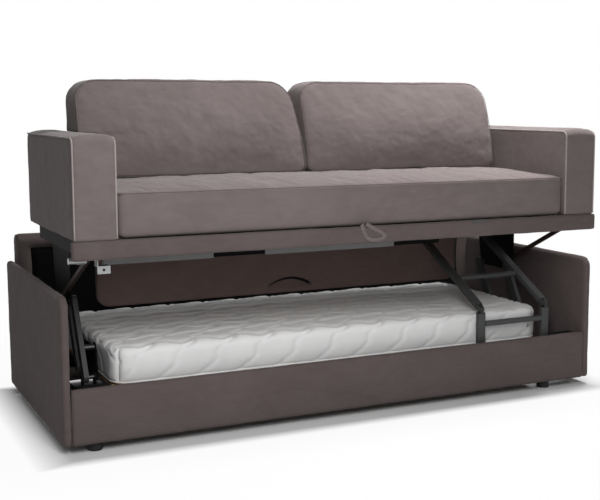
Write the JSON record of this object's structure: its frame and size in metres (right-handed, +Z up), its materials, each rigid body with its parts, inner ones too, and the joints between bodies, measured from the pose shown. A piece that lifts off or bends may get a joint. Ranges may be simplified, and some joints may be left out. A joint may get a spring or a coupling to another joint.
{
  "type": "sofa bunk bed",
  "caption": "Velvet sofa on a parallel link lift over a quilted lower bed, with a folding ladder and a board with a hand slot.",
  "frame": {"origin": "middle of the footprint on the floor", "axes": "X along the sofa, its front faces -Y, Z up"},
  "size_m": [2.23, 1.058, 1.2886],
  "materials": {
    "velvet": "warm taupe grey velvet",
    "lining": "black plain lining",
    "quilt": "white quilted cover",
    "dark_steel": "dark grey powder coat",
    "black_steel": "black powder coat",
    "grey_steel": "light grey powder coat",
    "brown_steel": "dark brown powder coat",
    "zinc": "bright zinc",
    "wood_slat": "plain birch",
    "panel_board": "plain board",
    "black_plastic": "moulded",
    "rubber_foot": "plain"
  },
  "bodies": {
    "base": {"side_panel_left": "velvet", "side_panel_right": "velvet", "front_panel": "velvet", "rear_wall": "velvet", "rear_wall_lining": "lining", "feet": "rubber_foot", "front_cross_rail": "black_steel", "corner_bracket_left": "black_steel", "corner_bracket_right": "black_steel", "base_rail_left": "black_steel", "base_rail_right": "black_steel", "base_pins": "zinc"},
    "front_links": {"front_link_left": "dark_steel", "front_link_right": "dark_steel"},
    "rear_links": {"rear_link_left": "dark_steel", "rear_link_right": "dark_steel"},
    "lower_bed": {"bed_frame": "dark_steel", "bed_slats": "wood_slat", "bed_bracket_left": "black_steel", "bed_bracket_right": "black_steel", "bed_pins": "zinc", "mattress": "quilt", "mattress_vent": "black_plastic", "ladder_post_left": "dark_steel", "ladder_post_right": "dark_steel", "ladder_lugs": "black_plastic", "ladder_step": "dark_steel"},
    "ladder_top": {"ladder_rail_left": "dark_steel", "ladder_rail_right": "dark_steel", "ladder_rung": "dark_steel", "ladder_rollers": "black_plastic", "elbow_pins": "zinc"},
    "sofa": {"front_rail": "velvet", "arm_left": "velvet", "arm_right": "velvet", "underframe": "black_steel", "seat_deck": "panel_board", "hanger_left": "black_steel", "hanger_right": "black_steel", "hanger_pins": "zinc", "front_beam_left": "grey_steel", "front_beam_middle": "grey_steel", "front_beam_right": "grey_steel", "beam_joiners": "black_steel", "beam_angle": "zinc", "brace_left": "brown_steel", "brace_right": "brown_steel", "brace_bolts": "zinc", "ladder_guides": "black_steel", "bright_fitting": "zinc", "back_frame": "velvet", "board_guides": "black_plastic", "seat_cushion": "velvet", "back_cushion_left": "velvet", "back_cushion_right": "velvet", "pull_strap": "velvet", "zip_pull": "zinc"},
    "board": {"slot_board": "velvet"}
  },
  "joints": [
    {"name": "lift", "type": "hinge", "parent": "base", "child": "front_links", "pos_m": [0, -0.201, 0.2], "axis": [1, 0, 0], "range_deg": [-95, 0]},
    {"name": "rear_swing", "type": "hinge", "parent": "base", "child": "rear_links", "pos_m": [0, -0.009, 0.2], "axis": [1, 0, 0], "range_deg": [-95, 0]},
    {"name": "sofa_level", "type": "hinge", "parent": "front_links", "child": "sofa", "pos_m": [0, -0.051, 0.45981], "axis": [1, 0, 0], "range_deg": [0, 95]},
    {"name": "bed_level", "type": "hinge", "parent": "front_links", "child": "lower_bed", "pos_m": [0, -0.1445, 0.29786], "axis": [1, 0, 0], "range_deg": [0, 95]},
    {"name": "ladder_tilt", "type": "hinge", "parent": "lower_bed", "child": "ladder_top", "pos_m": [0, -0.411, 0.357], "axis": [1, 0, 0], "range_deg": [-27, 0]},
    {"name": "board_slide", "type": "slide", "parent": "sofa", "child": "board", "axis": [0, 0, 1], "range_m": [0, 0.251]}
  ],
  "couplings": [
    {"joint": "rear_swing", "follows": "lift", "ratio": 1},
    {"joint": "sofa_level", "follows": "lift", "ratio": -1},
    {"joint": "bed_level", "follows": "lift", "ratio": -1},
    {"joint": "ladder_tilt", "follows": "lift", "ratio": 0.283},
    {"joint": "board_slide", "follows": "lift", "m_per_rad": -0.15078}
  ]
}
